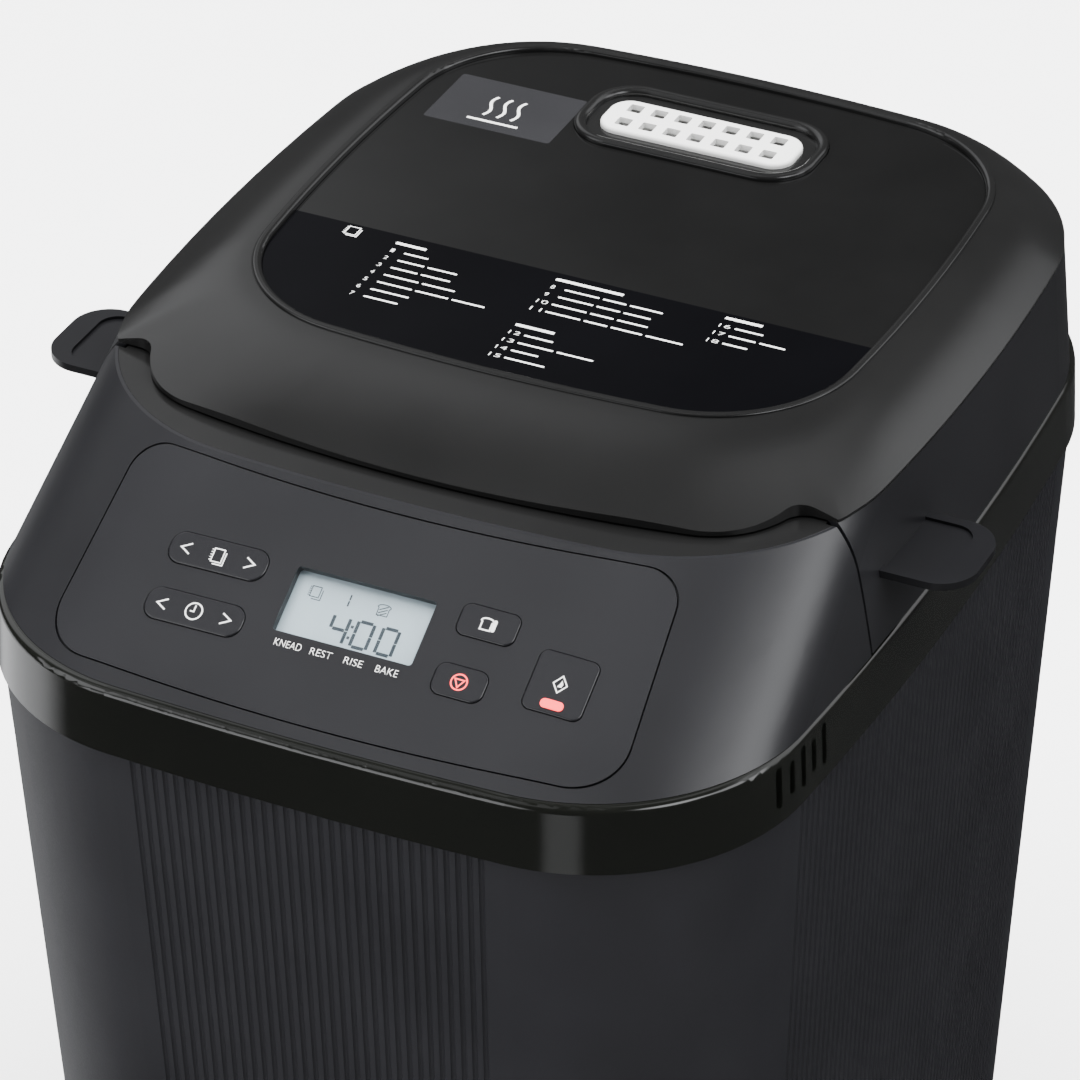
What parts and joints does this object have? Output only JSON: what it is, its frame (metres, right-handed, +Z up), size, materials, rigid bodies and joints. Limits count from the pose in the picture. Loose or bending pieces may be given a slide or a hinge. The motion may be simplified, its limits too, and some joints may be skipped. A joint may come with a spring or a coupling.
{
  "type": "bread machine",
  "caption": "Compact fluted bread machine with a hinged gloss lid, sloped control panel, lift-out pan and belt-driven kneading blade.",
  "frame": {"origin": "on the floor under the middle of the machine", "axes": "+Z up, -Y out of the control panel at the front, +X to the right seen from the front"},
  "size_m": [0.278, 0.305, 0.347],
  "materials": {
    "body_grey": "fine matt",
    "base_black": "matt",
    "band_black": "gloss",
    "housing_satin": "satin",
    "panel_grey": "fine matt overlay",
    "lid_black": "high gloss",
    "lid_satin": "satin",
    "vent_white": "light grey",
    "display_glass": "clear cover",
    "display_grey": "reflective display",
    "signal_red": "translucent red",
    "circuit": "circuit board",
    "inner_plastic": "heat resistant",
    "sheet_steel": "plain sheet",
    "liner_aluminium": "brushed",
    "chamber_coat": "coated sheet",
    "pan_coat": "non-stick coating",
    "heater_steel": "heat tinted",
    "silicone": "heat resistant",
    "foot_rubber": "matt",
    "laminations": "stacked sheet",
    "bearing_brass": "sintered",
    "belt_rubber": "matt"
  },
  "bodies": {
    "machine": {"body_shell": "body_grey", "base_tray": "base_black", "trim_band": "band_black", "chamber_deck": "inner_plastic", "control_housing": "housing_satin", "control_panel": "panel_grey", "front_shelf": "lid_black", "display_lens": "display_glass", "display_module": "display_grey", "control_board": "circuit", "tact_switches": "base_black", "hinge_bracket": "sheet_steel", "hinge_pins": "sheet_steel", "rubber_feet": "foot_rubber", "chassis_plate": "sheet_steel", "chassis_posts": "inner_plastic", "chamber_supports": "sheet_steel", "motor_lower_bracket": "sheet_steel", "motor_upper_bracket": "sheet_steel", "motor_stator": "laminations", "run_capacitor": "base_black", "drive_bearing": "bearing_brass", "drive_belt": "belt_rubber", "chamber_tub": "chamber_coat", "temperature_sensor": "sheet_steel", "heater_element": "heater_steel", "pan_seat": "liner_aluminium", "pan_clips": "sheet_steel", "power_board": "circuit", "board_components": "base_black", "cord_gland": "inner_plastic"},
    "lid": {"lid_skirt": "lid_satin", "lid_tabs": "lid_satin", "lid_shell": "lid_black", "lid_plate": "lid_black", "vent_bezel": "lid_black", "vent_grille": "vent_white", "vent_duct": "inner_plastic", "lid_frame": "inner_plastic", "lid_liner": "liner_aluminium", "lid_seal": "silicone", "lid_screws": "sheet_steel", "lid_hinge_arms": "inner_plastic"},
    "menu_button": {"menu_key": "panel_grey"},
    "timer_button": {"timer_key": "panel_grey"},
    "size_button": {"size_key": "panel_grey"},
    "stop_button": {"stop_key": "panel_grey"},
    "start_button": {"start_key": "panel_grey", "start_light": "signal_red"},
    "pan": {"bread_pan": "pan_coat", "pan_base": "liner_aluminium", "shaft_seal": "silicone"},
    "bail": {"pan_handle": "sheet_steel"},
    "blade": {"kneading_blade": "pan_coat", "blade_shaft": "sheet_steel"},
    "drive": {"drive_spindle": "sheet_steel", "drive_pulley": "liner_aluminium"},
    "motor": {"motor_rotor": "sheet_steel", "motor_pulley": "liner_aluminium"}
  },
  "joints": [
    {"name": "lid_hinge", "type": "hinge", "parent": "machine", "child": "lid", "pos_m": [0, 0.1475, 0.302], "axis": [-1, 0, 0], "range_deg": [0, 95]},
    {"name": "pan_lift", "type": "slide", "parent": "machine", "child": "pan", "axis": [0, 0, 1], "range_m": [0, 0.06]},
    {"name": "bail_fold", "type": "hinge", "parent": "pan", "child": "bail", "pos_m": [0, 0.04, 0.213], "axis": [-1, 0, 0], "range_deg": [0, 180]},
    {"name": "drive_spin", "type": "hinge", "parent": "machine", "child": "drive", "pos_m": [0, 0.04, 0.05], "axis": [0, 0, 1], "continuous": true},
    {"name": "blade_spin", "type": "hinge", "parent": "pan", "child": "blade", "pos_m": [0, 0.04, 0.09], "axis": [0, 0, 1], "continuous": true},
    {"name": "motor_spin", "type": "hinge", "parent": "machine", "child": "motor", "pos_m": [0, -0.095, 0.05], "axis": [0, 0, 1], "continuous": true},
    {"name": "menu_rock", "type": "hinge", "parent": "machine", "child": "menu_button", "pos_m": [-0.0436, -0.11079, 0.31791], "axis": [0, 0.8445, 0.5356], "range_deg": [-1.2, 1.2], "stiffness_Nm_per_rad": 0.4},
    {"name": "timer_rock", "type": "hinge", "parent": "machine", "child": "timer_button", "pos_m": [-0.0436, -0.12498, 0.30891], "axis": [0, 0.8445, 0.5356], "range_deg": [-1.2, 1.2], "stiffness_Nm_per_rad": 0.4},
    {"name": "size_press", "type": "slide", "parent": "machine", "child": "size_button", "axis": [0, 0.5356, -0.8445], "range_m": [0, 0.0006], "stiffness_N_per_m": 900},
    {"name": "stop_press", "type": "slide", "parent": "machine", "child": "stop_button", "axis": [0, 0.5356, -0.8445], "range_m": [0, 0.0006], "stiffness_N_per_m": 900},
    {"name": "start_press", "type": "slide", "parent": "machine", "child": "start_button", "axis": [0, 0.5356, -0.8445], "range_m": [0, 0.0006], "stiffness_N_per_m": 900}
  ],
  "couplings": [
    {"joint": "blade_spin", "follows": "drive_spin", "ratio": 1},
    {"joint": "motor_spin", "follows": "drive_spin", "ratio": 5.6541}
  ]
}
